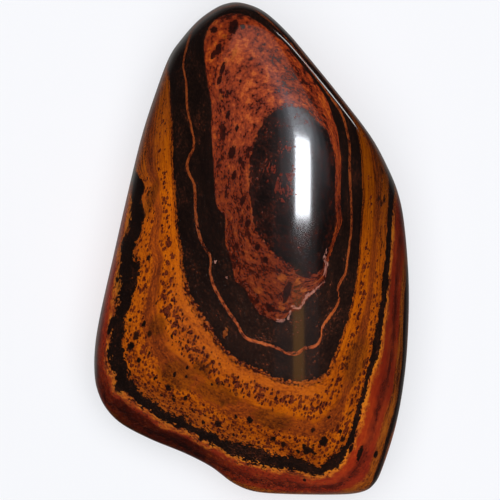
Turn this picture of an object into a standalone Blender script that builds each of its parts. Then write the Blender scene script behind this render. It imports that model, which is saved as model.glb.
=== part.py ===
"""A tumbled mugglestone, one piece of banded rock, lying on its back.

The frame has +Z up and its origin under the middle of the stone, on the surface that it rests on.
+Y runs along the stone to its narrow tip, and +X is to the right when the banded face is seen from above.
Lengths are in millimetres here, and the finished mesh is in metres.
"""

import math

import bmesh
import bpy
import numpy as np

METRES = 0.001

# The outline from above, anticlockwise from the right side, measured from the middle of its box.
OUTLINE = [
    (10.16, -2.30),
    (9.88, 1.50),
    (9.47, 3.60),
    (8.76, 5.35),
    (7.72, 7.25),
    (5.98, 9.55),
    (3.55, 12.55),
    (2.38, 13.92),
    (1.20, 15.05),
    (0.30, 15.62),
    (-0.75, 15.93),
    (-1.60, 15.87),
    (-2.45, 15.50),
    (-3.50, 14.72),
    (-4.50, 13.60),
    (-5.33, 12.38),
    (-6.20, 10.10),
    (-7.11, 7.25),
    (-8.04, 3.45),
    (-8.92, -0.40),
    (-9.78, -4.20),
    (-10.12, -6.30),
    (-10.16, -8.00),
    (-9.95, -9.20),
    (-9.38, -10.35),
    (-8.35, -11.35),
    (-6.50, -12.32),
    (-4.30, -13.22),
    (-2.60, -14.10),
    (-1.22, -15.12),
    (0.10, -15.66),
    (2.00, -15.84),
    (5.60, -15.88),
    (7.15, -15.70),
    (7.92, -15.20),
    (8.44, -14.20),
    (9.22, -11.80),
    (9.75, -9.20),
    (10.07, -6.20),
]
OUTLINE_STEPS = 12

# Towards each direction, in degrees anticlockwise from +X: how full the rim is, and the girdle's height.
# Fullness 2 is an ellipse's slow roll from the face to the side. From 10 the face ends at a shoulder,
# and at 150 at the crisp worn edge of the upper right.
# The girdle is the widest line round the stone. Where it is low, more of the side shows from above.
RIM = [
    (0, 7.0, 0.3),
    (20, 8.0, 0.2),
    (36, 14.0, -0.2),
    (50, 150.0, -0.5),
    (76, 150.0, -0.6),
    (92, 16.0, -0.3),
    (104, 9.0, 0.4),
    (125, 7.0, 0.5),
    (165, 7.5, 0.4),
    (195, 7.0, 0.1),
    (220, 7.0, -0.4),
    (245, 7.5, -0.5),
    (268, 8.5, -0.2),
    (300, 10.0, 0.2),
    (330, 7.5, 0.4),
]
RIM_BLUR = math.radians(10)

# The girdle's height fades towards the middle with this power of the reach, and the crown's height turns
# into the keel's over this much rise, about the girdle.
GIRDLE_FADE = 14
HALVES_BLEND = 0.8

# Each worn face is a plane: its height over the girdle, or depth under it, at the peak, its slopes, and
# how far it steps aside for each millimetre towards the tip, from BEND_START past the peak on.
# The crown's first two faces meet in the long ridge that runs up the banded side and bends to the tip.
# Softness is how widely the faces blend, and the domes are the radii of their own slight roundness.
CROWN_PEAK = (3.2, 4.0)
CROWN_FACES = [
    (7.4, (0.11, 0.00), 0.25),
    (7.4, (-0.20, 0.00), 0.25),
    (20.6, (0.48, 0.76), 0.0),
]
CROWN_SOFTNESS = 0.35
CROWN_DOME = (400.0, 110.0)

KEEL_PEAK = (0.4, -1.2)
KEEL_FACES = [
    (5.8, (0.00, 0.00), 0.0),
    (6.1, (0.11, -0.02), 0.0),
    (6.2, (-0.13, -0.03), 0.0),
    (6.4, (0.02, -0.13), 0.0),
    (6.5, (-0.02, 0.09), 0.0),
    (8.9, (-0.62, -0.10), 0.0),
    (11.2, (0.10, 0.52), 0.0),
]
KEEL_SOFTNESS = 0.35
KEEL_DOME = (70.0, 70.0)
BEND_START = 3.8
BEND_SOFTNESS = 0.6

# How far the lowest point of the back is worn off to the flat spot that the stone rests on.
REST_DEPTH = 0.10

# Slow swells left by the tumbling, each with its height, its wave's direction in degrees, length and shift.
CROWN_SWELLS = [
    (0.006, 25, 9.0, 0.4),
    (0.005, 95, 7.5, 0.9),
]
KEEL_SWELLS = [
    (0.09, 65, 13.0, 0.4),
    (0.07, -10, 10.5, 1.9),
    (0.05, -62, 8.0, 4.1),
]

# Points round the stone, and rows of points from the middle of the crown to the middle of the flat spot.
POINTS_ROUND = 96
ROWS = 40
FINE_STEPS = 400

# An average profile, which sets how the rows are spaced.
MEAN_REACH = 12.0
MEAN_RISE = 6.0
MEAN_FULLNESS = 8.0

STONE_COLOUR = (0.17, 0.055, 0.018, 1.0)
STONE_ROUGHNESS = 0.12


def clear_scene():
    for old in list(bpy.data.objects):
        bpy.data.objects.remove(old)


def closed_spline(corners, steps):
    """Points of a Catmull-Rom curve through the corners and back to the first."""
    before, start, end, after = (np.roll(corners, shift, axis=0)[:, None, :] for shift in (1, 0, -1, -2))
    t = np.linspace(0, 1, steps, endpoint=False)[None, :, None]
    straight = 2 * start + (end - before) * t
    bend = (2 * before - 5 * start + 4 * end - after) * t**2
    twist = (3 * start - before - 3 * end + after) * t**3
    return (0.5 * (straight + bend + twist)).reshape(-1, 2)


def outline_reach(around):
    """The outline's distance from the middle towards each angle."""
    x, y = closed_spline(np.array(OUTLINE), OUTLINE_STEPS).T
    return np.interp(around, np.arctan2(y, x), np.hypot(x, y), period=2 * math.pi)


def even_around(share):
    """The angle at each share of the way round the outline, so that points lie evenly along it."""
    angle = np.linspace(0, 2 * math.pi, FINE_STEPS)
    reach = outline_reach(angle)
    step = np.hypot(np.diff(reach * np.cos(angle)), np.diff(reach * np.sin(angle)))
    walked = np.concatenate([[0], np.cumsum(step)])
    return np.interp(share, walked / walked[-1], angle)


def rim_value(around, column):
    """A column of RIM towards each angle, blurred so that it changes smoothly."""
    degrees, *columns = zip(*RIM)
    fine = np.linspace(0, 2 * math.pi, FINE_STEPS, endpoint=False)
    waves = np.fft.rfft(np.interp(fine, np.radians(degrees), columns[column], period=2 * math.pi))
    waves *= np.exp(-0.5 * (np.arange(len(waves)) * RIM_BLUR) ** 2)
    return np.interp(around, fine, np.fft.irfft(waves, FINE_STEPS), period=2 * math.pi)


def worn_faces(x, y, faces, peak, softness, dome):
    """The lowest of several planes, blended where they meet, less the drop of a slight dome."""
    dx, dy = x - peak[0], y - peak[1]
    total = 0.0
    for at_peak, (a, b), bend in faces:
        aside = bend * BEND_SOFTNESS * np.logaddexp(0, (dy - BEND_START) / BEND_SOFTNESS)
        total = total + np.exp(-(at_peak + a * (dx + aside) + b * dy) / softness)
    return -softness * np.log(total) - dx**2 / (2 * dome[0]) - dy**2 / (2 * dome[1])


def swell(x, y, waves):
    """Height of the slow waves on the polished faces."""
    total = 0.0
    for height, degrees, length, shift in waves:
        along = x * math.cos(math.radians(degrees)) + y * math.sin(math.radians(degrees))
        total = total + height * np.sin(2 * math.pi * along / length + shift)
    return total


def mean_part(share):
    """How far out of its whole reach the average profile is, at each share of the way from crown to base.

    The shares are of the profile's length, so even shares give rows that lie evenly.
    """
    tilt = np.linspace(0, 1, FINE_STEPS) ** (MEAN_FULLNESS / 2) * math.pi / 2
    part = np.sin(tilt) ** (2 / MEAN_FULLNESS)
    steps = np.hypot(np.diff(MEAN_REACH * part), np.diff(MEAN_RISE * np.cos(tilt)))
    walked = np.concatenate([[0], np.cumsum(steps)])
    return np.sin(np.interp(1 - abs(2 * share - 1), walked / walked[-1], tilt)) ** (2 / MEAN_FULLNESS)


def stone_surface(around, share):
    """Points of the stone for the angle around it and the share of the way down from crown to base.

    A point's reach is a part of the outline's towards its angle, and its rise is what a superellipse
    has there: the root of 1 - part ** fullness. The rise times the height of the crown's worn faces,
    or of the keel's below the girdle, is added to the girdle's height.
    """
    part = mean_part(share)
    rise = np.sqrt(1 - part ** rim_value(around, 0)) * np.sign(0.5 - share)
    x = outline_reach(around) * part * np.cos(around)
    y = outline_reach(around) * part * np.sin(around)
    crown = worn_faces(x, y, CROWN_FACES, CROWN_PEAK, CROWN_SOFTNESS, CROWN_DOME) + swell(x, y, CROWN_SWELLS)
    keel = worn_faces(x, y, KEEL_FACES, KEEL_PEAK, KEEL_SOFTNESS, KEEL_DOME) + swell(x, y, KEEL_SWELLS)
    mix = np.clip(rise / HALVES_BLEND + 0.5, 0, 1)
    height = keel + (crown - keel) * mix * mix * (3 - 2 * mix)
    return np.stack([x, y, rim_value(around, 1) * part**GIRDLE_FADE + height * rise], axis=-1)


def stone_grid():
    """Points of the stone in mm, a column for each angle and a row for each step from crown to flat spot.

    Each column's keel rows are stretched so that the last but one lies on the flat spot's edge, at z = 0.
    The last row is one point in the middle of the flat spot.
    """
    angles = even_around(np.arange(POINTS_ROUND) / POINTS_ROUND)[:, None]
    keel_shares = np.linspace(0.5, 1, FINE_STEPS)
    keel_heights = stone_surface(angles, keel_shares)[..., 2]
    rest_level = keel_heights.min() + REST_DEPTH
    at_rest = np.array([np.interp(-rest_level, -heights, keel_shares) for heights in keel_heights])
    shares = np.arange(ROWS + 1) / ROWS
    stretch = (at_rest[:, None] - 0.5) / (0.5 - 1 / ROWS)
    points = stone_surface(angles, np.where(shares > 0.5, 0.5 + (shares - 0.5) * stretch, shares))
    points[..., 2] -= rest_level
    points[:, -2:, 2] = 0.0
    points[:, -1] = points[:, -2].mean(axis=0)
    outline = points[..., :2].reshape(-1, 2)
    points[..., :2] -= (outline.min(axis=0) + outline.max(axis=0)) / 2
    return points


def shape_ball(mesh):
    """Moves each point of a unit ball to the stone's point of the same column and row."""
    grid = stone_grid() * METRES
    for vertex in mesh.verts:
        x, y, z = vertex.co
        column = round(math.atan2(y, x) / (2 * math.pi) * POINTS_ROUND) % POINTS_ROUND
        row = round(math.acos(max(-1.0, min(1.0, z))) / math.pi * ROWS)
        vertex.co = grid[column, row]


def polished_stone():
    """The stone's colour and gloss where its bands blur together."""
    material = bpy.data.materials.new("polished_banded_stone")
    material.use_nodes = True
    shader = material.node_tree.nodes["Principled BSDF"]
    shader.inputs["Base Color"].default_value = STONE_COLOUR
    shader.inputs["Roughness"].default_value = STONE_ROUGHNESS
    shader.inputs["Metallic"].default_value = 0.0
    return material


def build_stone(collection):
    mesh = bmesh.new()
    bmesh.ops.create_uvsphere(mesh, u_segments=POINTS_ROUND, v_segments=ROWS, radius=1.0)
    shape_ball(mesh)
    data = bpy.data.meshes.new("tumbled_stone")
    mesh.to_mesh(data)
    mesh.free()
    data.shade_smooth()
    data.materials.append(polished_stone())
    stone = bpy.data.objects.new("tumbled_stone", data)
    collection.objects.link(stone)
    return stone


def main():
    clear_scene()
    collection = bpy.data.collections.new("mugglestone")
    bpy.context.scene.collection.children.link(collection)
    build_stone(collection)


main()
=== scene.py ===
"""The looks of a tumbled mugglestone: one polished piece of banded jasper, hematite and tiger's eye.

The stone's surface is worked out here at a fine grid by the same formula as its solid, and its bands are
worked out as a depth in the layered rock, which a material turns into colour. Lengths are in millimetres
in this file's values and in metres in the scene.
"""
import math

import bpy
import numpy as np
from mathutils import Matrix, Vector


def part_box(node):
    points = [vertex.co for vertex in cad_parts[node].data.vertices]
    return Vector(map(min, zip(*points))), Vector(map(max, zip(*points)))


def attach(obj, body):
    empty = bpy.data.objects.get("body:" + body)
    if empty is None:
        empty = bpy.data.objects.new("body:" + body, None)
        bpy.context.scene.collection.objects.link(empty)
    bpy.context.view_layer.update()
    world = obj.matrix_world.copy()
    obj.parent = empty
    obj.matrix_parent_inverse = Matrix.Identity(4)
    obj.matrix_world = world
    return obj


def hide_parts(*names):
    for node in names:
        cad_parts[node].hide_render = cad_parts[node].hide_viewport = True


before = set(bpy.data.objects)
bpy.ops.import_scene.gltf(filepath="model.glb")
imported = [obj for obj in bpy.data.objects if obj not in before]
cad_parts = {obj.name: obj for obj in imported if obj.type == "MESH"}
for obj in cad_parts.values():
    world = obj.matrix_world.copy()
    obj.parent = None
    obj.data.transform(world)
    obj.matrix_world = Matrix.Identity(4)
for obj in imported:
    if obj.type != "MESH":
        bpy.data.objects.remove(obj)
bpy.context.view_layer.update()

METRES = 0.001

# The outline from above, anticlockwise from the right side, measured from the middle of its box.
OUTLINE = [
    (10.16, -2.30), (9.88, 1.50), (9.47, 3.60), (8.76, 5.35), (7.72, 7.25), (5.98, 9.55), (3.55, 12.55),
    (2.38, 13.92), (1.20, 15.05), (0.30, 15.62), (-0.75, 15.93), (-1.60, 15.87), (-2.45, 15.50),
    (-3.50, 14.72), (-4.50, 13.60), (-5.33, 12.38), (-6.20, 10.10), (-7.11, 7.25), (-8.04, 3.45),
    (-8.92, -0.40), (-9.78, -4.20), (-10.12, -6.30), (-10.16, -8.00), (-9.95, -9.20), (-9.38, -10.35),
    (-8.35, -11.35), (-6.50, -12.32), (-4.30, -13.22), (-2.60, -14.10), (-1.22, -15.12), (0.10, -15.66),
    (2.00, -15.84), (5.60, -15.88), (7.15, -15.70), (7.92, -15.20), (8.44, -14.20), (9.22, -11.80),
    (9.75, -9.20), (10.07, -6.20),
]
SPLINE_STEPS = 12

# Towards each direction, in degrees anticlockwise from +X: how full the rim is, and the girdle's height.
RIM = [
    (0, 7.0, 0.3), (20, 8.0, 0.2), (36, 14.0, -0.2), (50, 150.0, -0.5), (76, 150.0, -0.6), (92, 16.0, -0.3),
    (104, 9.0, 0.4), (125, 7.0, 0.5), (165, 7.5, 0.4), (195, 7.0, 0.1), (220, 7.0, -0.4), (245, 7.5, -0.5),
    (268, 8.5, -0.2), (300, 10.0, 0.2), (330, 7.5, 0.4),
]
RIM_BLUR = math.radians(10)
GIRDLE_FADE = 14
HALVES_BLEND = 0.8

# Each worn face is a plane: its height over the girdle, or depth under it, at the peak, its slopes, and
# how far it steps aside for each millimetre towards the tip, from BEND_START past the peak on. The
# crown's first two meet in the ridge that carries the long highlight.
CROWN_PEAK = (3.2, 4.0)
CROWN_FACES = [
    (7.4, (0.11, 0.00), 0.25), (7.4, (-0.20, 0.00), 0.25), (20.6, (0.48, 0.76), 0.0),
]
CROWN_SOFTNESS = 0.35
CROWN_DOME = (400.0, 110.0)
KEEL_PEAK = (0.4, -1.2)
KEEL_FACES = [
    (5.8, (0.00, 0.00), 0.0), (6.1, (0.11, -0.02), 0.0), (6.2, (-0.13, -0.03), 0.0),
    (6.4, (0.02, -0.13), 0.0), (6.5, (-0.02, 0.09), 0.0), (8.9, (-0.62, -0.10), 0.0),
    (11.2, (0.10, 0.52), 0.0),
]
KEEL_SOFTNESS = 0.35
KEEL_DOME = (70.0, 70.0)
BEND_START = 3.8
BEND_SOFTNESS = 0.6
REST_DEPTH = 0.10

# Slow swells left by the tumbling, each with its height, its wave's direction in degrees, length and shift.
CROWN_SWELLS = [(0.006, 25, 9.0, 0.4), (0.005, 95, 7.5, 0.9)]
KEEL_SWELLS = [(0.09, 65, 13.0, 0.4), (0.07, -10, 10.5, 1.9), (0.05, -62, 8.0, 4.1)]

# The grid's columns round the stone and rows from the crown's middle to the flat spot's, just under
# 200,000 triangles, which keeps points about 0.15 mm apart.
COLUMNS = 480
ROWS = 200
FINE_STEPS = 400
MEAN_REACH = 12.0
MEAN_RISE = 6.0
MEAN_FULLNESS = 8.0

# The bands are nested round this point of the face. Each edge below is a closed line on the face, from
# the eye outwards, with the depth in the rock that it has. Depth runs at about a millimetre a millimetre
# on the wide side of the bands, and faster where they are pressed together on the right.
BANDS_MIDDLE = (2.8, 4.05)
EYE_EDGE = [
    (5.4, 4.05), (5.4, 5.6), (5.15, 6.7), (4.85, 7.6), (4.2, 8.2), (3.75, 8.75), (3.25, 9.05), (2.6, 9.15),
    (1.8, 9), (1.2, 8.65), (0.75, 8.05), (0.3, 7.2), (0.05, 6.25), (-0.15, 5.3), (-0.15, 4.05), (0, 2.75),
    (0.15, 1.5), (0.5, 0.8), (1.2, 0.05), (1.9, -0.6), (2.5, -1.2), (3.2, -1.5), (3.95, -1.7), (4.5, -1.45),
    (4.75, -0.8), (5, -0.05), (5.35, 1), (5.5, 1.75), (5.4, 2.75),
]
LOBE_EDGE = [
    (5.7, 4.05), (5.75, 5.45), (5.6, 6.8), (5.5, 7.6), (5.25, 8.3), (5, 9.2), (4.6, 10), (4, 10.85),
    (3, 12.1), (2.15, 13.2), (1.35, 13.85), (0.4, 14.6), (-0.7, 15.1), (-1.8, 15), (-2.65, 14.4),
    (-3.05, 13.25), (-3, 11.95), (-2.8, 10.5), (-2.55, 9.1), (-2.55, 6.9), (-2.4, 4.65), (-2.35, 3.1),
    (-2.05, 2.4),
    (-1.7, 2), (-1.65, 0.4), (-1.25, -0.9), (-1, -2.15), (-0.4, -2.55), (0, -3.45), (0.5, -4.1), (1.5, -4.65),
    (2.05, -4.6), (2.5, -4.1), (3.1, -3.9), (3.45, -3.4), (4.2, -2.65), (4.7, -2), (4.85, -0.9), (5.1, -0.2),
    (5.45, 0.85), (5.8, 1.75), (5.7, 2.75),
]
VEIN = [
    (6.35, 4.05), (6.3, 5.3), (6.3, 6.55), (6.15, 7.45), (5.9, 8.4), (5.5, 9.15), (5.05, 9.75), (4.5, 10.55),
    (3.85, 11.4), (3.1, 12.45), (2.35, 13.4), (1.5, 14.3), (0.7, 15), (-0.4, 15.7), (-1.95, 15.5),
    (-3.2, 14.8), (-3.85, 14.05), (-4.2, 12.9), (-4.4, 11.8), (-4.2, 10.65), (-4.15, 9.1), (-3.95, 8.15),
    (-3.7, 6.7), (-3.95, 5.95),
    (-4.15, 5.3), (-3.95, 4.65), (-3.7, 4.05), (-3.6, 2.45), (-3.45, 1.15), (-3.05, 0.1), (-2.65, -0.55),
    (-2.65, -1.7), (-2.3, -2.7), (-1.65, -3.8), (-0.9, -4.9), (-0.4, -5.7), (0.45, -6.05), (1.65, -6.4),
    (2.2, -6.7), (2.9, -6.75), (3.5, -6.4), (4.15, -6.25), (4.45, -5.75), (4.55, -5.05), (5, -4.4),
    (5.4, -3.85), (5.65, -3.2), (5.5, -2.7), (5.7, -2.15), (6.05, -1.5), (6.2, -0.55), (6.35, 0.55),
    (6.45, 1.8), (6.4, 3.1),
]
RING_EDGE = [
    (7.15, 4.05), (7.1, 5.3), (7, 6.55), (6.7, 7.95), (6.1, 9), (5.2, 10.2), (4.5, 11.1), (3.5, 12.2),
    (2.8, 13.1), (2.1, 14.2), (1.3, 15.1), (0.4, 16), (-0.9, 16.5), (-2.3, 16.2), (-3.7, 15.45),
    (-4.7, 14.45), (-5.2, 13.25), (-5.4, 11.95), (-5.35, 10.5), (-5.25, 9.25), (-5.15, 7.5), (-5.1, 5.95),
    (-5, 4.05),
    (-4.85, 2.1), (-4.75, 0.85), (-4.55, -0.1), (-4.45, -1.2), (-4.2, -2.3), (-3.85, -3.4), (-3.35, -4.2),
    (-2.8, -5.05), (-2.05, -6.15), (-1, -7.2), (-0.25, -7.55), (0.55, -7.9), (1.2, -8.25), (1.95, -8.5),
    (2.8, -8.7), (3.6, -8.65), (4.25, -8.5), (4.75, -8.25), (5.15, -7.65), (5.4, -7), (5.7, -6.25),
    (5.95, -5.45), (6.3, -4.35), (6.55, -3.35), (6.75, -2.3), (6.9, -0.9), (7, 0.55), (7.1, 2.1), (7.2, 3.1),
]
DARK_INNER = [
    (8.85, 4.05), (8.65, 5.45), (8.15, 6.9), (7.25, 8.35), (5.95, 10.15), (4.7, 11.8), (3.2, 13.7),
    (1.8, 15.6), (0.4, 16.85), (-1, 17.25), (-2.8, 16.85), (-4.45, 15.6), (-5.6, 13.85), (-6.2, 12.15),
    (-6.85, 10.25), (-7.45, 8.15), (-7.6, 6.55), (-7.5, 5.15), (-6.9, 4.05), (-7.1, 3.2), (-6.8, 2.25),
    (-7.05, 1.25), (-7.45, -0.15), (-7.1, -1.2), (-7.3, -2.2), (-7.6, -3.15), (-8.05, -4.5), (-8.2, -5.6),
    (-8.05, -7), (-7.7, -8.4), (-7.05, -9.3), (-6.1, -9.95), (-5.25, -10.6), (-4.5, -10.7), (-3.8, -11.45),
    (-2.8, -11.7), (-1.7, -12.35), (-0.4, -12.55), (0.9, -12.9), (2.35, -13.3), (3.45, -13.75), (4.25, -14),
    (5.15, -13.45), (5.9, -12.65), (6.35, -11.85), (6.65, -10.6), (7.05, -9.3), (7.35, -8.15), (7.75, -6.45),
    (8.05, -4.85), (8.3, -3.1), (8.5, -1.35), (8.65, 0.2), (8.75, 2.1),
]
DARK_OUTER = [
    (9.2, 4.05), (9, 5.95), (8.5, 7.7), (7.5, 9.45), (6.3, 11.15), (5.1, 12.8), (3.75, 14.45), (2.3, 16.35),
    (0.75, 17.75), (-1, 18.15), (-3.1, 17.75), (-4.95, 16.5), (-6.2, 14.55), (-6.85, 12.8), (-7.5, 10.75),
    (-8.05, 8.6), (-8.25, 6.9), (-8.05, 5.3), (-7.75, 4.05), (-7.75, 2.9), (-7.95, 1.5), (-8.4, 0.1),
    (-8.45, -0.9), (-8.65, -2), (-8.7, -3.45), (-8.95, -4.85), (-9.15, -6.25), (-9.25, -7.25), (-8.9, -8.15),
    (-8.75, -9.2), (-8, -9.45), (-7.35, -10.05), (-6.55, -10.5), (-5.7, -11.25), (-4.65, -11.55),
    (-3.55, -12.1), (-2.6, -12.6), (-1.35, -13.3), (0.05, -13.8), (1.5, -14.15), (3, -14.4), (4.15, -14.6),
    (5.35, -14.25), (5.9, -13.5), (6.35, -12.6), (6.65, -11.85), (7, -10.6), (7.3, -9.45), (7.55, -8.35),
    (8.15, -6.9), (8.4, -5.2), (8.7, -3.25), (8.85, -1.55), (9, 0.55), (9.1, 2.45),
]
RED_OUTER = [
    (10.4, 4.05), (10.3, 6.55), (9.65, 8.6), (8.5, 10.4), (7.25, 12.05), (5.95, 13.7), (4.7, 15.45),
    (3.1, 17.35), (1.4, 18.75), (-1, 19.25), (-3.55, 18.75), (-5.8, 17.35), (-7.2, 15.35), (-8, 13.25),
    (-8.65, 11.15), (-9.25, 9), (-9.5, 6.9), (-9.6, 4.65), (-9.65, 2.45), (-9.9, 0.2), (-10.2, -2),
    (-10.65, -4.2), (-10.9, -6.45), (-10.9, -8.35), (-10.3, -9.8), (-9.15, -11.1), (-7.35, -12.3),
    (-4.85, -13.5), (-2.6, -14.75), (-0.7, -15.65), (1.2, -16.05), (3.45, -16.15), (5.65, -16.15),
    (6.9, -15.95), (7.6, -15.45), (8.05, -14.25), (8.45, -13.05), (8.75, -11.95), (9.25, -10.3), (9.5, -8.8),
    (9.7, -7.1), (9.75, -5.2), (9.85, -2.95), (10.1, -0.75), (10.35, 1.5),
]
VEIN_WIDTH = 0.21
EDGES = [
    (EYE_EDGE, 0.0, 3.0),
    (LOBE_EDGE, 0.0, 5.5),
    (VEIN, -VEIN_WIDTH / 2, 7.1),
    (VEIN, VEIN_WIDTH / 2, 7.4),
    (RING_EDGE, 0.0, 8.7),
    (DARK_INNER, 0.0, 12.7),
    (DARK_OUTER, 0.0, 13.6),
    (RED_OUTER, 0.0, 15.3),
]

# Below the face the bands dip outwards, by this much depth for each millimetre down, and their dip
# changes over the stone by these amounts a millimetre, so that the back shows its own bands.
DIP = 0.62
DIP_CHANGE = (0.022, 0.012)

# The least reach that a band is given, in millimetres, where two edges would cross.
LEAST_BAND = 0.05

# How ragged the bands' edges are at each depth, as millimetres of depth, and the share of it that is
# lost where they are pressed together.
RAGGED = [
    (2.6, 0.5), (3.6, 0.5), (5.2, 0.45), (5.9, 0.4), (6.6, 0.2), (7.9, 0.2), (8.4, 0.45), (9.0, 0.45),
    (12.0, 1.4), (13.9, 1.4), (15.2, 0.3), (16.0, 0.5),
]
RAGGED_LOSS = 0.6

# How far the rock's speckles are drawn out into streaks, towards each direction from the bands' middle, in
# degrees anticlockwise from +X: inside the dark band, where the bands are pressed together, and outside it.
STREAKY = [
    (0, 1.0), (40, 1.0), (90, 0.8), (130, 0.9), (150, 0.9), (170, 0.8), (185, 0.5), (205, 0.2), (230, 0.0),
    (295, 0.0), (315, 0.6), (335, 1.0),
]
RIM_STREAKY = [(0, 1.0), (90, 1.0), (170, 0.9), (205, 0.7), (225, 0.3), (265, 0.2), (285, 0.7), (297, 1.0)]
RIM_START = 13.2

# How light the rock is between two depths, towards each direction: the eye, the lobe, the ring, the gold,
# the dark band, the orange line and the jasper of the rim. The rim's row also holds painted shade: it is
# darkest towards 232 to 250 degrees, where the lower-left edge turns down from the light.
LIGHTNESS_AND_SHADE = [
    (-1.0, 2.9, [(0, 0.7), (60, 0.8), (120, 1.3), (180, 1.5), (240, 1.0), (300, 0.6)]),
    (3.0, 5.5, [
        (0, 1.0), (60, 1.35), (110, 1.5), (140, 1.3), (180, 1.0), (230, 0.85), (270, 0.82), (300, 0.82),
    ]),
    (5.5, 8.6, [(0, 1.0), (220, 1.1), (250, 2.2), (290, 1.8), (320, 1.0)]),
    (8.6, 12.7, [
        (0, 0.42), (40, 0.38), (90, 0.45), (130, 0.66), (150, 0.8), (170, 0.87), (185, 1.1), (205, 1.05),
        (230, 1.0), (270, 0.95), (295, 0.95), (315, 0.8), (335, 0.58),
    ]),
    (12.7, 13.6, [(0, 1.0), (215, 1.0), (235, 1.4), (290, 1.4), (310, 1.0)]),
    (13.6, 13.9, [(0, 1.0), (180, 1.8), (215, 1.8), (240, 1.7), (275, 1.8), (300, 1.1), (330, 1.0)]),
    # Painted shade: the rim's jasper is darkened to about 0.4 towards 232 to 250 degrees, on the down-turned
    # lower-left edge.
    (13.9, 17.0, [
        (0, 1.0), (180, 2.4), (212, 2.2), (224, 1.2), (232, 0.4), (250, 0.38), (258, 1.2), (275, 2.2),
        (300, 1.0),
    ]),
]
LIGHTNESS_BLEND = 0.15

# How large the speckles grow at each depth, as a share of the space between them, and the share of the
# pepper that is lost where the bands are pressed together, inside RIM_START and outside it.
PEPPER = [
    (3.0, 0.0), (3.2, 0.45), (5.3, 0.45), (5.5, 0.0), (8.8, 0.0), (9.2, 0.35), (9.5, 1.15), (10.2, 1.15),
    (10.5, 0.30), (11.3, 0.30), (11.6, 0.80), (12.6, 0.90), (12.8, 0.0), (13.5, 0.0), (13.7, 0.60),
    (15.2, 0.45), (15.4, 0.0),
]
DOTS = [(9.5, 0.0), (10.3, 0.20), (11.0, 0.28), (11.6, 0.40), (12.5, 0.42), (12.8, 0.0)]
PEPPER_LOSS = (0.5, 1.0)

# Speckles and marks are longer than they are wide, and their tops lean to the right by this angle.
SPOT_LEAN = math.radians(18)

# Marks on the face, each an oval with its middle, half width and half length: black hematite in the gold,
# maroon blotches and orange patches in the lobe, red flecks in the eye, and olive patches in the gold.
BLACK_SPOTS = [
    (-6.92, -4.86, 0.16, 0.29), (-7.75, -6.26, 0.25, 0.32), (-7.27, -7.21, 0.19, 0.22),
    (-5.02, -9.5, 0.13, 0.16), (-4.25, -9.62, 0.16, 0.22), (-4.95, -8.1, 0.13, 0.22),
    (-4.13, -7.65, 0.13, 0.19), (-4.19, -8.23, 0.11, 0.14), (-2.54, -8.73, 0.11, 0.14),
    (-2.19, -8.67, 0.11, 0.14), (-1.84, -8.73, 0.11, 0.13), (-3.11, -11.21, 0.15, 0.15),
    (-1.02, -10.83, 0.17, 0.19), (-6.6, -6.76, 0.11, 0.15), (-6.22, -8.35, 0.13, 0.17),
    (-5.14, -5.62, 0.11, 0.15), (4.64, -12.38, 0.3, 0.41), (5.71, -11.78, 0.14, 0.27),
    (3.37, -12.73, 0.17, 0.2), (3.81, -12.99, 0.19, 0.19), (4.1, -13.24, 0.13, 0.17),
    (3.49, -13.18, 0.16, 0.14), (2.98, -13.08, 0.19, 0.16), (4.98, -10.83, 0.13, 0.2),
    (3.4, -14.92, 0.13, 0.13), (6.41, -12.86, 0.15, 0.43), (6.97, -13.21, 0.18, 0.67),
    (8, -13.28, 0.15, 0.27), (-9.08, -4.99, 0.17, 0.83), (-7.81, -4.61, 0.14, 0.14),
    (1.46, -12.23, 0.16, 0.19), (-0.13, -11.02, 0.25, 0.25), (-8.13, -2.96, 0.19, 0.32),
]
MAROON_BLOTCHES = [
    (-1.17, 14.25, 0.35, 0.57), (-0.57, 14.25, 0.19, 0.19), (-2.41, 14.06, 0.25, 0.25),
    (-2.13, 12.79, 0.22, 0.48), (-2.48, 12.48, 0.13, 0.32), (-1.87, 11.52, 0.16, 0.51),
    (-2.06, 10.82, 0.16, 0.32), (-0.7, 10.73, 0.13, 0.16), (-1.27, 6.13, 0.25, 0.48),
    (-0.73, 5.68, 0.16, 0.25), (2.29, -2.76, 0.25, 0.76), (3.37, -1.65, 0.57, 0.22),
    (-1.52, 8.6, 0.14, 0.38), (-1.78, 7.59, 0.13, 0.32), (-0.95, 7.71, 0.13, 0.25),
    (-1.14, 4.67, 0.16, 0.38), (-0.57, 3.08, 0.16, 0.38), (-0.25, 1.62, 0.19, 0.32),
    (0.38, 0.09, 0.19, 0.25), (0.89, -0.73, 0.19, 0.25),
]
ORANGE_PATCHES = [
    (-1.71, 13.62, 0.19, 0.19), (-0.38, 11.65, 0.15, 0.15), (-1.14, 12.48, 0.14, 0.51),
    (1.94, -1.88, 0.35, 0.25), (2.95, -2.16, 0.17, 0.29), (3.33, -2.67, 0.22, 0.17),
    (1.94, -3.91, 0.22, 0.32), (0.38, -2.7, 0.25, 0.25), (-1.97, 9.74, 0.16, 0.32),
    (-1.71, -5.45, 0.16, 0.4),
]
RED_FLECKS = [
    (1.33, 5.11, 0.32, 0.32), (2.54, 4.79, 0.25, 0.38), (2.22, 3.71, 0.54, 0.32),
    (1.62, 4.03, 0.11, 0.64), (2.35, 6.38, 0.19, 0.19), (1.91, 3.08, 0.19, 0.13),
    (1.02, 4.28, 0.13, 0.19),
]
OLIVE_PATCHES = [
    (-6.1, -4.99, 0.64, 0.83), (-4.83, -8.16, 1.27, 0.95), (-2.16, -9.31, 1.52, 0.76),
    (1.4, -11.08, 1.52, 0.7), (6.67, -7.21, 0.76, 1.91), (-6.41, 3.27, 0.32, 1.4),
    (-3.24, -7.72, 0.76, 0.51),
]

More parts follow.
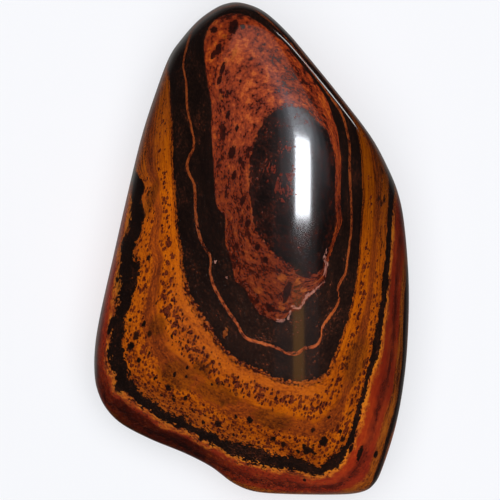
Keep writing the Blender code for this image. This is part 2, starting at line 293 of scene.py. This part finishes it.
# Pale quartz: tiny specks, and veinlets that run through these points with this half width.
PALE_SPECKS = [
    (-2.35, -0.86, 0.1, 0.1), (-1.59, -1.81, 0.1, 0.1), (4.76, -0.22, 0.1, 0.15), (4.7, -0.67, 0.1, 0.13),
]
VEINLETS = [
    [(4.76, -0.1), (4.7, -0.73), (4.83, -1.05), (4.7, -1.75)],
    [(4.64, -2.13), (4.06, -2.7), (3.56, -3.02), (3.37, -3.46), (3.11, -3.78), (2.67, -3.78)],
    [(1.52, -4.61), (1.97, -4.67), (2.29, -4.42), (2.54, -4.1)],
]
VEINLET_HALF_WIDTH = 0.08


def closed_spline(corners, steps):
    """Points of a Catmull-Rom curve through the corners and back to the first."""
    before, start, end, after = (np.roll(corners, shift, axis=0)[:, None, :] for shift in (1, 0, -1, -2))
    t = np.linspace(0, 1, steps, endpoint=False)[None, :, None]
    straight = 2 * start + (end - before) * t
    bend = (2 * before - 5 * start + 4 * end - after) * t**2
    twist = (3 * start - before - 3 * end + after) * t**3
    return (0.5 * (straight + bend + twist)).reshape(-1, 2)


def reach_of(corners, middle, around):
    """The distance from a middle point to a closed line towards each angle."""
    x, y = (closed_spline(np.array(corners), SPLINE_STEPS) - middle).T
    return np.interp(around, np.arctan2(y, x), np.hypot(x, y), period=2 * math.pi)


def even_around(share):
    """The angle at each share of the way round the outline, so that points lie evenly along it."""
    angle = np.linspace(0, 2 * math.pi, FINE_STEPS)
    reach = reach_of(OUTLINE, (0, 0), angle)
    step = np.hypot(np.diff(reach * np.cos(angle)), np.diff(reach * np.sin(angle)))
    walked = np.concatenate([[0], np.cumsum(step)])
    return np.interp(share, walked / walked[-1], angle)


def rim_value(around, column):
    """A column of RIM towards each angle, blurred so that it changes smoothly."""
    degrees, *columns = zip(*RIM)
    fine = np.linspace(0, 2 * math.pi, FINE_STEPS, endpoint=False)
    waves = np.fft.rfft(np.interp(fine, np.radians(degrees), columns[column], period=2 * math.pi))
    waves *= np.exp(-0.5 * (np.arange(len(waves)) * RIM_BLUR) ** 2)
    return np.interp(around, fine, np.fft.irfft(waves, FINE_STEPS), period=2 * math.pi)


def worn_faces(x, y, faces, peak, softness, dome):
    """The lowest of several planes, blended where they meet, less the drop of a slight dome."""
    dx, dy = x - peak[0], y - peak[1]
    total = 0.0
    for at_peak, (a, b), bend in faces:
        aside = bend * BEND_SOFTNESS * np.logaddexp(0, (dy - BEND_START) / BEND_SOFTNESS)
        total = total + np.exp(-(at_peak + a * (dx + aside) + b * dy) / softness)
    return -softness * np.log(total) - dx**2 / (2 * dome[0]) - dy**2 / (2 * dome[1])


def swell(x, y, waves):
    """Height of the slow waves on the polished faces."""
    total = 0.0
    for height, degrees, length, shift in waves:
        along = x * math.cos(math.radians(degrees)) + y * math.sin(math.radians(degrees))
        total = total + height * np.sin(2 * math.pi * along / length + shift)
    return total


def mean_part(share):
    """How far out of its whole reach the average profile is, at each share of its length from the crown."""
    tilt = np.linspace(0, 1, FINE_STEPS) ** (MEAN_FULLNESS / 2) * math.pi / 2
    part = np.sin(tilt) ** (2 / MEAN_FULLNESS)
    steps = np.hypot(np.diff(MEAN_REACH * part), np.diff(MEAN_RISE * np.cos(tilt)))
    walked = np.concatenate([[0], np.cumsum(steps)])
    return np.sin(np.interp(1 - abs(2 * share - 1), walked / walked[-1], tilt)) ** (2 / MEAN_FULLNESS)


def stone_surface(around, share):
    """Points of the stone for the angle around it and the share of the way down from crown to base.

    A point's reach is a part of the outline's towards its angle, and its rise is what a superellipse
    has there: the root of 1 - part ** fullness. The rise times the height of the crown's worn faces,
    or of the keel's below the girdle, is added to the girdle's height.
    """
    part = mean_part(share)
    rise = np.sqrt(1 - part ** rim_value(around, 0)) * np.sign(0.5 - share)
    reach = reach_of(OUTLINE, (0, 0), around)
    x = reach * part * np.cos(around)
    y = reach * part * np.sin(around)
    crown = worn_faces(x, y, CROWN_FACES, CROWN_PEAK, CROWN_SOFTNESS, CROWN_DOME) + swell(x, y, CROWN_SWELLS)
    keel = worn_faces(x, y, KEEL_FACES, KEEL_PEAK, KEEL_SOFTNESS, KEEL_DOME) + swell(x, y, KEEL_SWELLS)
    mix = np.clip(rise / HALVES_BLEND + 0.5, 0, 1)
    height = keel + (crown - keel) * mix * mix * (3 - 2 * mix)
    return np.stack([x, y, rim_value(around, 1) * part**GIRDLE_FADE + height * rise], axis=-1)


def stone_grid():
    """Points of the stone, with how far each lies below the face straight above it.

    There is a column for each angle and a row for each step from the crown's middle to the flat spot's.
    Each column's keel rows are stretched so that the last but one lies on the flat spot's edge, at z = 0.
    """
    angles = even_around(np.arange(COLUMNS) / COLUMNS)[:, None]
    keel_shares = np.linspace(0.5, 1, FINE_STEPS)
    keel_heights = stone_surface(angles, keel_shares)[..., 2]
    rest_level = keel_heights.min() + REST_DEPTH
    at_rest = np.array([np.interp(-rest_level, -heights, keel_shares) for heights in keel_heights])
    shares = np.arange(ROWS + 1) / ROWS
    stretch = (at_rest[:, None] - 0.5) / (0.5 - 1 / ROWS)
    shares = np.where(shares > 0.5, 0.5 + (shares - 0.5) * stretch, shares)
    points = stone_surface(angles, shares)
    face = stone_surface(angles, np.minimum(shares, 1 - shares))[..., 2] - rest_level
    points[..., 2] -= rest_level
    points[:, -2:, 2] = 0.0
    points[:, -1] = points[:, -2].mean(axis=0)
    below = np.maximum(face - points[..., 2], 0)
    below[:, -1] = below[:, -2].mean()
    return points, below


def fit_to_solid(points):
    """The points scaled, by less than a thousandth, so that their box is the solid's own."""
    low, high = (np.array(corner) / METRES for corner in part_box("tumbled_stone"))
    flat = points.reshape(-1, 3)
    own_low, own_high = flat.min(axis=0), flat.max(axis=0)
    return low + (points - own_low) * (high - low) / (own_high - own_low)


def band_depth(x, y, below):
    """Depth in the layered rock: the share of the way from each band edge to the next, outwards.

    Along a line from the bands' middle the depth rises evenly between one edge and the next. A point
    below the face has more of it, by the bands' dip.
    """
    dx, dy = x - BANDS_MIDDLE[0], y - BANDS_MIDDLE[1]
    around, reach = np.arctan2(dy, dx), np.hypot(dx, dy)
    total = np.zeros_like(reach)
    inner, inner_depth = np.zeros_like(reach), 0.0
    for corners, offset, depth in EDGES:
        outer = np.maximum(reach_of(corners, BANDS_MIDDLE, around) + offset, inner + LEAST_BAND)
        total += (depth - inner_depth) * np.clip((reach - inner) / (outer - inner), 0, 1)
        inner, inner_depth = outer, depth
    total += np.maximum(reach - inner, 0)
    return total + below * (DIP + DIP_CHANGE[0] * x + DIP_CHANGE[1] * y)


def in_spots(x, y, spots):
    """How far inside the nearest leaning oval each point is: 1 at its middle, 0 on its edge."""
    best = np.full_like(x, -1.0)
    for middle_x, middle_y, half_width, half_length in spots:
        dx, dy = x - middle_x, y - middle_y
        across = dx * math.cos(SPOT_LEAN) - dy * math.sin(SPOT_LEAN)
        along = dx * math.sin(SPOT_LEAN) + dy * math.cos(SPOT_LEAN)
        best = np.maximum(best, 1 - np.hypot(across / half_width, along / half_length))
    return best


def in_lines(x, y, lines, half_width):
    """How far inside the nearest line each point is: 1 on it, 0 at its half width, and less outside."""
    best = np.full_like(x, -1.0)
    for corners in lines:
        for (x0, y0), (x1, y1) in zip(corners[:-1], corners[1:]):
            along = ((x - x0) * (x1 - x0) + (y - y0) * (y1 - y0)) / ((x1 - x0) ** 2 + (y1 - y0) ** 2)
            along = np.clip(along, 0, 1)
            away = np.hypot(x - x0 - along * (x1 - x0), y - y0 - along * (y1 - y0))
            best = np.maximum(best, 1 - away / half_width)
    return best


def towards(around, table):
    """The value of a table of directions in degrees and values, towards each angle."""
    degrees, values = zip(*table)
    return np.interp(around, np.radians(degrees), values, period=2 * math.pi)


def stone_values(points, below):
    """The values that the material reads at every point. Marks lie on the crown alone."""
    x, y = points[..., 0], points[..., 1]
    depth = band_depth(x, y, below)
    around = np.arctan2(y - BANDS_MIDDLE[1], x - BANDS_MIDDLE[0])
    # The lightness multiplies the rock's colour; on the lower-left rim it is painted shade of the down-turned
    # edge.
    lightness_and_shade = np.ones_like(depth)
    for inner, outer, table in LIGHTNESS_AND_SHADE:
        edges = (inner, inner + LIGHTNESS_BLEND, outer, outer + LIGHTNESS_BLEND)
        lightness_and_shade += (towards(around, table) - 1) * np.interp(depth, edges, (0, 1, 1, 0))
    streaky = np.where(depth < RIM_START, towards(around, STREAKY), towards(around, RIM_STREAKY))
    pepper_loss = np.where(depth < RIM_START, *PEPPER_LOSS) * streaky
    values = {
        "depth": depth,
        "ragged": np.interp(depth, *zip(*RAGGED)) * (1 - RAGGED_LOSS * streaky),
        "lightness_and_shade": lightness_and_shade,
        "streaky": streaky,
        "pepper": np.interp(depth, *zip(*PEPPER)) * (1 - pepper_loss),
        "dots": np.interp(depth, *zip(*DOTS)),
    }
    marks = {
        "black_spots": in_spots(x, y, BLACK_SPOTS),
        "maroon_blotches": in_spots(x, y, MAROON_BLOTCHES),
        "orange_patches": in_spots(x, y, ORANGE_PATCHES),
        "red_flecks": in_spots(x, y, RED_FLECKS),
        "olive_patches": in_spots(x, y, OLIVE_PATCHES),
        "pale_marks": np.maximum(in_spots(x, y, PALE_SPECKS), in_lines(x, y, VEINLETS, VEINLET_HALF_WIDTH)),
    }
    for name, inside in marks.items():
        values[name] = np.where(below > 0, -1.0, inside)
    return values


def stone_mesh():
    """The stone's mesh: rings of quads, closed by a fan at each end, with its values at every point."""
    points, below = stone_grid()
    points = fit_to_solid(points)

    def in_mesh_order(values):
        """The crown's middle, the rings row by row, and the flat spot's middle."""
        return np.concatenate([values[:1, 0], values[:, 1:-1].swapaxes(0, 1).reshape(-1, *values.shape[2:]),
                               values[:1, -1]])

    ring = 1 + np.arange((ROWS - 1) * COLUMNS).reshape(ROWS - 1, COLUMNS)
    beside = np.roll(ring, -1, axis=1)
    quads = np.stack([ring[:-1], ring[1:], beside[1:], beside[:-1]], axis=-1).reshape(-1, 4)
    crown_fan = np.stack([np.zeros(COLUMNS, int), ring[0], beside[0]], axis=-1)
    rest_fan = np.stack([np.full(COLUMNS, ring[-1, -1] + 1), beside[-1], ring[-1]], axis=-1)
    faces = crown_fan.tolist() + quads.tolist() + rest_fan.tolist()
    mesh = bpy.data.meshes.new("polished_stone")
    mesh.from_pydata((in_mesh_order(points) * METRES).tolist(), [], faces)
    for name, values in stone_values(points, below).items():
        mesh.attributes.new(name, "FLOAT", "POINT").data.foreach_set("value", in_mesh_order(values).ravel())
    mesh.shade_smooth()
    return mesh


def linear(hex_colour):
    """An sRGB hex colour as linear red, green, blue and alpha."""
    shown = [int(hex_colour[i:i + 2], 16) / 255 for i in (1, 3, 5)]
    return [c / 12.92 if c <= 0.04045 else ((c + 0.055) / 1.055) ** 2.4 for c in shown] + [1.0]


def add(tree, kind, inputs, **settings):
    """Adds a node with its settings, and sets or links each of its inputs."""
    node = tree.nodes.new(kind)
    for name, value in settings.items():
        setattr(node, name, value)
    for key, value in inputs.items():
        if isinstance(value, bpy.types.NodeSocket):
            tree.links.new(value, node.inputs[key])
        else:
            node.inputs[key].default_value = value
    return node


def set_stops(ramp, stops):
    """Gives a colour ramp its stops, each a place and an sRGB hex colour."""
    for place, _ in stops[2:]:
        ramp.elements.new(place)
    for element, (place, colour) in zip(ramp.elements, sorted(stops)):
        element.position = place
        element.color = linear(colour)


# Patterns in the rock. Each runs along the bands, because depth is its fourth axis: its size along them and
# across them in mm, and how fine its detail is.
PATTERNS = [
    ("clouds", 1.8, 0.9, 2.0),
    ("grain", 0.40, 0.20, 2.0),
    ("fine", 0.17, 0.12, 1.0),
    ("streaks", 1.9, 0.15, 2.0),
    ("jags", 0.62, 2.0, 4.0),
    ("waves", 2.6, 4.0, 1.0),
]
PATTERN_ROUGHNESS = 0.6

# How much of an edge's raggedness is grain and not jags, and how far the waves move it, in mm of depth.
GRAIN_SHARE = 0.6
WAVE_HEIGHT = 0.12

# What mottles each rock: how much of each pattern goes into it. Every mix is 0.5 on average.
MIXES = {
    "black": [("clouds", 0.8), ("fine", 0.9)],
    "mottle": [("grain", 0.9), ("fine", 0.9), ("clouds", 0.6)],
    "flecks": [("grain", 0.9), ("fine", 0.6), ("clouds", 0.9)],
    "fibres": [("streaks", 0.5), ("fine", 0.8), ("clouds", 0.8)],
    "stripes": [("streaks", 1.3), ("fine", 0.6)],
    "flow": [("streaks", 0.5), ("clouds", 0.7)],
}

# The colours of the rocks, by the value of the mix that mottles them, and of the bands that are like no
# other.
HEMATITE = [(0.32, "#110806"), (0.58, "#1c0f0a"), (0.72, "#34180f"), (0.88, "#5c2c15")]
CLEAN_GOLD = [(0.25, "#78310a"), (0.40, "#a24a08"), (0.55, "#b85907"), (0.75, "#ca680a")]
BROWN_GOLD = [(0.22, "#50200f"), (0.42, "#763110"), (0.58, "#944112"), (0.75, "#b0500c")]
OUTER_GOLD = [(0.26, "#60260a"), (0.38, "#92400b"), (0.55, "#b6570a"), (0.75, "#c8660b")]
JASPER = [(0.25, "#260c08"), (0.38, "#4a170b"), (0.50, "#6c2611"), (0.62, "#823212"), (0.76, "#9e4a18")]
RED = [(0.25, "#4a150a"), (0.45, "#721e0c"), (0.62, "#822a0e"), (0.80, "#a04612")]
MAROON = [(0.30, "#2a0c08"), (0.50, "#4a140a"), (0.70, "#742610")]
EYE = [(0.3, "#0c0706"), (0.52, "#1e0f0c"), (0.66, "#3c180f"), (0.80, "#5e2112")]
VEIN_COLOURS = [(0.30, "#2c110a"), (0.42, "#662a12"), (0.6, "#86401b")]
FRINGE = [(0.4, "#3c140a"), (0.6, "#8a3f0a")]
ORANGE_LINE = [(0.38, "#5c2410"), (0.48, "#964414"), (0.62, "#b86618")]
BROWN = [(0.30, "#4a1c0a"), (0.55, "#88420f"), (0.75, "#9c5412")]

# The bands outwards: the depth where each starts, over how much depth it comes in, the mix that mottles it
# where it is broad and where it is pressed into streaks, and its colours.
BANDS = [
    ("eye", 0.0, 0.1, "black", "black", EYE),
    ("lobe", 3.0, 0.1, "flecks", "flecks", JASPER),
    ("ring", 5.5, 0.1, "black", "black", HEMATITE),
    ("vein", 7.12, 0.06, "flecks", "flecks", VEIN_COLOURS),
    ("outer ring", 7.36, 0.06, "black", "black", HEMATITE),
    ("ring's fringe", 8.62, 0.08, "mottle", "stripes", FRINGE),
    ("clean gold", 8.85, 0.12, "fibres", "stripes", CLEAN_GOLD),
    ("brown gold", 10.5, 0.3, "fibres", "stripes", BROWN_GOLD),
    ("outer gold", 11.5, 0.3, "fibres", "stripes", OUTER_GOLD),
    ("dark band", 12.7, 0.08, "black", "black", HEMATITE),
    ("orange line", 13.6, 0.06, "mottle", "fibres", ORANGE_LINE),
    ("red jasper", 13.86, 0.16, "mottle", "flow", RED),
    ("maroon jasper", 14.28, 0.25, "mottle", "flow", MAROON),
    ("second red jasper", 14.62, 0.20, "mottle", "flow", RED),
    ("brown jasper", 14.92, 0.12, "mottle", "stripes", BROWN),
    ("rim", 15.3, 0.1, "black", "black", HEMATITE),
    ("second gold", 15.8, 0.15, "mottle", "stripes", OUTER_GOLD),
    ("second dark band", 17.0, 0.1, "black", "black", HEMATITE),
    ("second jasper", 17.6, 0.15, "mottle", "mottle", JASPER),
    ("third dark band", 19.2, 0.1, "black", "black", HEMATITE),
    ("third gold", 20.0, 0.15, "fibres", "fibres", CLEAN_GOLD),
]

# The speckles, laid over the bands: the value that says how large they grow, the space between them in mm,
# their length against their width, and their colours.
SPECKLES = [
    ("pepper", 0.18, 1.6, [(0.35, "#3a120b"), (0.65, "#6a2a12")]),
    ("dots", 0.74, 1.5, [(0.35, "#140a07"), (0.65, "#30150c")]),
]
SPECKLE_EDGE = 0.12

# The marks, laid over them: the value that says where they are, how ragged their edges are, the mix
# that mottles them, how strongly they cover, and their colours.
MARKS = [
    ("olive_patches", 1.4, "fibres", 0.6, [(0.3, "#3a1a06"), (0.5, "#582a08"), (0.7, "#7a3c0a")]),
    ("maroon_blotches", 1.3, "mottle", 1.0, [(0.35, "#140807"), (0.65, "#36110a")]),
    ("orange_patches", 1.4, "mottle", 0.6, [(0.35, "#80340f"), (0.65, "#a45416")]),
    ("red_flecks", 3.0, "mottle", 0.7, [(0.35, "#4a160e"), (0.65, "#702616")]),
    ("black_spots", 0.9, "black", 1.0, HEMATITE),
    ("pale_marks", 2.2, "mottle", 0.7, [(0.35, "#7a3c2c"), (0.65, "#b88476")]),
]
MARK_EDGE = 0.25

# The polish: how rough the rock and the clear gloss over it are, and how strongly they bend light. The gloss
# has its full weight on rock as dark as the first brightness, and the lower one from the second on.
ROCK_ROUGHNESS = 0.13
ROCK_IOR = 1.54
POLISH_ROUGHNESS = 0.07
POLISH_IOR = 2.1
HEMATITE_BRIGHTNESS = (0.008, 0.030)
POLISH_WEIGHT = (1.0, 0.35)


def rock_patterns(tree, place, depth):
    """The patterns' values, and the mixes made of them."""
    patterns = {}
    for name, along, across, detail in PATTERNS:
        scaled = add(tree, "ShaderNodeVectorMath", {0: place, 1: (1 / along,) * 3}, operation="MULTIPLY")
        deep = add(tree, "ShaderNodeMath", {0: depth, 1: 1 / across}, operation="MULTIPLY")
        noise = add(tree, "ShaderNodeTexNoise",
                    {"Vector": scaled.outputs[0], "W": deep.outputs[0], "Scale": 1.0, "Detail": detail,
                     "Roughness": PATTERN_ROUGHNESS}, noise_dimensions="4D")
        patterns[name] = noise.outputs["Fac"]
    for name, parts in MIXES.items():
        total = 0.5 - 0.5 * sum(share for pattern, share in parts)
        for pattern, share in parts:
            total = add(tree, "ShaderNodeMath", {0: patterns[pattern], 1: share, 2: total},
                        operation="MULTIPLY_ADD").outputs[0]
        patterns[name] = total
    return patterns


def attribute(tree, name):
    """The output of a value kept at every point of the mesh."""
    return add(tree, "ShaderNodeAttribute", {}, attribute_name=name).outputs["Fac"]


def about(tree, pattern, height, base):
    """A base value with a pattern's rise and fall added to it."""
    off = add(tree, "ShaderNodeMath", {0: pattern, 1: 0.5}, operation="SUBTRACT").outputs[0]
    return add(tree, "ShaderNodeMath", {0: off, 1: height, 2: base}, operation="MULTIPLY_ADD").outputs[0]


def ragged_depth(tree, depth, patterns):
    """The depth with its edges made wavy, jagged and, where they are most ragged, grainy."""
    ragged = attribute(tree, "ragged")
    less_ragged = add(tree, "ShaderNodeMath", {0: ragged, 1: GRAIN_SHARE}, operation="MULTIPLY").outputs[0]
    jagged = about(tree, patterns["jags"], ragged, depth)
    grainy = about(tree, patterns["fine"], less_ragged, jagged)
    return about(tree, patterns["waves"], WAVE_HEIGHT, grainy)


def lay_over(tree, colour, cover, pattern, stops, label):
    """A colour with a mottled one laid over it, as far as it covers."""
    ramp = add(tree, "ShaderNodeValToRGB", {"Fac": pattern}, label=label)
    set_stops(ramp.color_ramp, stops)
    return add(tree, "ShaderNodeMix", {"Factor": cover, 6: colour, 7: ramp.outputs["Color"]},
               data_type="RGBA", label=label).outputs[2]


def band_colour(tree, depth, patterns):
    """Lays each band's colours over the ones inside it, from the depth where it starts."""
    streaky = attribute(tree, "streaky")
    flows = {}
    colour = (0, 0, 0, 1)
    for name, start, softness, broad, pressed, stops in BANDS:
        if (broad, pressed) not in flows:
            mix = {"Factor": streaky, 2: patterns[broad], 3: patterns[pressed]}
            flows[broad, pressed] = add(tree, "ShaderNodeMix", mix).outputs[0]
        cover = 1.0
        if start:
            span = {"Value": depth, "From Min": start - softness / 2, "From Max": start + softness / 2}
            cover = add(tree, "ShaderNodeMapRange", span).outputs[0]
        colour = lay_over(tree, colour, cover, flows[broad, pressed], stops, name)
    # The lightness scales the colour, and darkens the lower-left rim as painted shade.
    return add(tree, "ShaderNodeVectorMath", {0: colour, "Scale": attribute(tree, "lightness_and_shade")},
               operation="SCALE").outputs[0]


def speckled(tree, colour, place, patterns):
    """Lays the speckles over the bands' colour. Each one grows to its own share of the largest size."""
    upright = add(tree, "ShaderNodeVectorRotate", {"Vector": place, "Angle": SPOT_LEAN}).outputs[0]
    for name, space, length, stops in SPECKLES:
        density = attribute(tree, name)
        scale = (1 / space, 1 / space / length, 1 / space)
        cells = add(tree, "ShaderNodeVectorMath", {0: upright, 1: scale}, operation="MULTIPLY").outputs[0]
        cell = add(tree, "ShaderNodeTexVoronoi", {"Vector": cells, "Scale": 1.0})
        own = add(tree, "ShaderNodeSeparateColor", {0: cell.outputs["Color"]}).outputs["Red"]
        radius = add(tree, "ShaderNodeMath", {0: own, 1: density}, operation="MULTIPLY")
        inside = add(tree, "ShaderNodeMath", {0: radius.outputs[0], 1: cell.outputs["Distance"]},
                     operation="SUBTRACT")
        edge = about(tree, patterns["mottle"], density, inside.outputs[0])
        cover = add(tree, "ShaderNodeMapRange", {"Value": edge, "From Min": 0.0, "From Max": SPECKLE_EDGE})
        colour = lay_over(tree, colour, cover.outputs[0], patterns["mottle"], stops, name)
    return colour


def marked(tree, colour, patterns):
    """Lays the marks over the bands' colour. The fine grain makes their edges ragged."""
    for name, ragged, mix, cover, stops in MARKS:
        edge = about(tree, patterns["mottle"], ragged, attribute(tree, name))
        inside = add(tree, "ShaderNodeMapRange",
                     {"Value": edge, "From Min": 0.0, "From Max": MARK_EDGE, "To Max": cover})
        colour = lay_over(tree, colour, inside.outputs[0], patterns[mix], stops, name)
    return colour


def polished_mugglestone():
    """Quartz-hard rock tumbled to a high polish. The hematite in it is darkest and mirrors the most."""
    material = bpy.data.materials.new("polished_banded_jasper_hematite_and_tigers_eye")
    material.use_nodes = True
    tree = material.node_tree
    shader = tree.nodes["Principled BSDF"]
    in_metres = add(tree, "ShaderNodeTexCoord", {}).outputs["Object"]
    in_millimetres = add(tree, "ShaderNodeVectorMath", {0: in_metres, 1: (1 / METRES,) * 3},
                         operation="MULTIPLY")
    place = in_millimetres.outputs[0]
    depth = attribute(tree, "depth")
    patterns = rock_patterns(tree, place, depth)
    jagged = ragged_depth(tree, depth, patterns)
    colour = speckled(tree, band_colour(tree, jagged, patterns), place, patterns)
    colour = marked(tree, colour, patterns)
    tree.links.new(colour, shader.inputs["Base Color"])
    brightness = add(tree, "ShaderNodeRGBToBW", {"Color": colour}).outputs[0]
    (darkest, lightest), (full, weak) = HEMATITE_BRIGHTNESS, POLISH_WEIGHT
    polish = add(tree, "ShaderNodeMapRange",
                 {"Value": brightness, "From Min": darkest, "From Max": lightest, "To Min": full,
                  "To Max": weak})
    tree.links.new(polish.outputs[0], shader.inputs["Coat Weight"])
    shader.inputs["Coat IOR"].default_value = POLISH_IOR
    shader.inputs["Coat Roughness"].default_value = POLISH_ROUGHNESS
    shader.inputs["Roughness"].default_value = ROCK_ROUGHNESS
    shader.inputs["IOR"].default_value = ROCK_IOR
    return material


def build_stone():
    """The stone, on the part's own body and in the place of its plain solid."""
    mesh = stone_mesh()
    mesh.materials.append(polished_mugglestone())
    stone = bpy.data.objects.new("polished_stone", mesh)
    bpy.context.scene.collection.objects.link(stone)
    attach(stone, "root")
    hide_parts("tumbled_stone")


# The table under the stone, wide enough to fill every view. It is a light table, so it glows a little and
# the stone's shadow on it is weak.
TABLE_HALF = 2500.0
TABLE_COLOUR = "#9c9da0"
TABLE_GLOW = "#f2f3f6"
TABLE_GLOW_STRENGTH = 0.68
TABLE_ROUGHNESS = 0.9

# Lights that face down: name, place in mm, width and length in mm, colour, radiance, whether it is mirrored
# in the polish.
LIGHTS = [
    ("strip_light", (92.0, 21.0, 800.0), 106.0, 76.0, "#f4f8ff", 11.0, True),
    ("lamp_top", (98.0, 92.0, 805.0), 160.0, 70.0, "#eaf3ff", 0.55, True),
    ("lamp_top_glow", (98.0, 88.0, 806.0), 230.0, 100.0, "#eaf3ff", 0.24, True),
    ("lamp_top_haze", (98.0, 84.0, 807.0), 310.0, 140.0, "#eaf3ff", 0.13, True),
    ("reflecting_panel", (55.0, 60.0, 810.0), 310.0, 560.0, "#f8fbff", 0.03, True),
    ("far_panel", (40.0, 290.0, 812.0), 480.0, 320.0, "#fffaf4", 0.22, True),
    ("warm_panel", (54.0, -170.0, 808.0), 84.0, 150.0, "#f0a848", 0.4, True),
    ("overhead_softbox", (0.0, 0.0, 1100.0), 700.0, 700.0, "#ffffff", 8.1, False),
]
SIDE_WINDOW = ("side_window", (620.0, 560.0, 250.0), 260.0, 160.0, "#ffffff", 3.0)

# The room's brightness by the height of the direction: straight down, level and straight up are 0, 0.5 and
# 1. It is paler on the left, where directions count as lower by this share.
ROOM = [(0.0, "#6a6866"), (0.03, "#3c3836"), (0.08, "#1a1616"), (0.5, "#161414"), (1.0, "#121214")]
ROOM_TILT = 0.06


def lit_acrylic():
    """Milky acrylic lit from below: matt and nearly white, with no shine, so the shadow stays faint."""
    material = bpy.data.materials.new("backlit_matt_white_acrylic")
    material.use_nodes = True
    shader = material.node_tree.nodes["Principled BSDF"]
    shader.inputs["Base Color"].default_value = linear(TABLE_COLOUR)
    shader.inputs["Roughness"].default_value = TABLE_ROUGHNESS
    shader.inputs["Specular IOR Level"].default_value = 0.0
    shader.inputs["Emission Color"].default_value = linear(TABLE_GLOW)
    shader.inputs["Emission Strength"].default_value = TABLE_GLOW_STRENGTH
    return material


def build_table():
    """The flat top of the light table, which the polish doesn't mirror."""
    signs = ((-1, -1), (1, -1), (1, 1), (-1, 1))
    corners = [(x * TABLE_HALF, y * TABLE_HALF, 0) for x, y in signs]
    mesh = bpy.data.meshes.new("table")
    mesh.from_pydata([Vector(corner) * METRES for corner in corners], [], [(0, 1, 2, 3)])
    mesh.materials.append(lit_acrylic())
    table = bpy.data.objects.new("table", mesh)
    table.visible_glossy = False
    bpy.context.scene.collection.objects.link(table)


def add_light(name, place, width, length, colour, radiance):
    """An area light facing down. Its power is its radiance times pi times its area."""
    light = bpy.data.lights.new(name, "AREA")
    light.shape = "RECTANGLE"
    light.size = width * METRES
    light.size_y = length * METRES
    light.color = linear(colour)[:3]
    light.energy = radiance * math.pi * light.size * light.size_y
    lamp = bpy.data.objects.new(name, light)
    lamp.location = Vector(place) * METRES
    bpy.context.scene.collection.objects.link(lamp)
    return lamp


def build_lights():
    """The lamps over the table, and the window to the upper right that draws the line on the worn edge."""
    for *light, mirrored in LIGHTS:
        add_light(*light).visible_glossy = mirrored
    window = add_light(*SIDE_WINDOW)
    window.rotation_euler = window.location.to_track_quat("Z", "Y").to_euler()


def build_surroundings():
    """A room that is pale at the horizon and below, and dark overhead, as round a photographer's table."""
    world = bpy.data.worlds.new("studio")
    bpy.context.scene.world = world
    world.use_nodes = True
    tree = world.node_tree
    direction = add(tree, "ShaderNodeTexCoord", {}).outputs["Generated"]
    axes = add(tree, "ShaderNodeSeparateXYZ", {0: direction}).outputs
    level = add(tree, "ShaderNodeMath", {0: axes["Z"], 1: 0.5, 2: 0.5}, operation="MULTIPLY_ADD")
    share = add(tree, "ShaderNodeMath", {0: axes["X"], 1: ROOM_TILT, 2: level.outputs[0]},
                operation="MULTIPLY_ADD")
    ramp = add(tree, "ShaderNodeValToRGB", {"Fac": share.outputs[0]})
    set_stops(ramp.color_ramp, ROOM)
    tree.links.new(ramp.outputs["Color"], tree.nodes["Background"].inputs["Color"])


# The camera looks straight down on the face, with the narrow tip up. The picture is this wide at the
# girdle. The last two are the nearest and farthest that it sees.
CAMERA_HEIGHT = 1200.0
CAMERA_AIM = (-0.1, -0.1)
PICTURE_WIDTH = 32.3
GIRDLE_LEVEL = 6.0
SEES_FROM = 10.0
SEES_TO = 20000.0


def build_camera():
    """The camera, and the plain view transform that leaves the colours as they are."""
    camera = bpy.data.cameras.new("camera")
    camera.angle = 2 * math.atan(PICTURE_WIDTH / 2 / (CAMERA_HEIGHT - GIRDLE_LEVEL))
    camera.clip_start = SEES_FROM * METRES
    camera.clip_end = SEES_TO * METRES
    holder = bpy.data.objects.new("camera", camera)
    holder.location = Vector((*CAMERA_AIM, CAMERA_HEIGHT)) * METRES
    bpy.context.scene.collection.objects.link(holder)
    bpy.context.scene.camera = holder
    bpy.context.scene.view_settings.view_transform = "Standard"


def main():
    """Builds the scene."""
    build_stone()
    build_table()
    build_lights()
    build_surroundings()
    build_camera()


main()
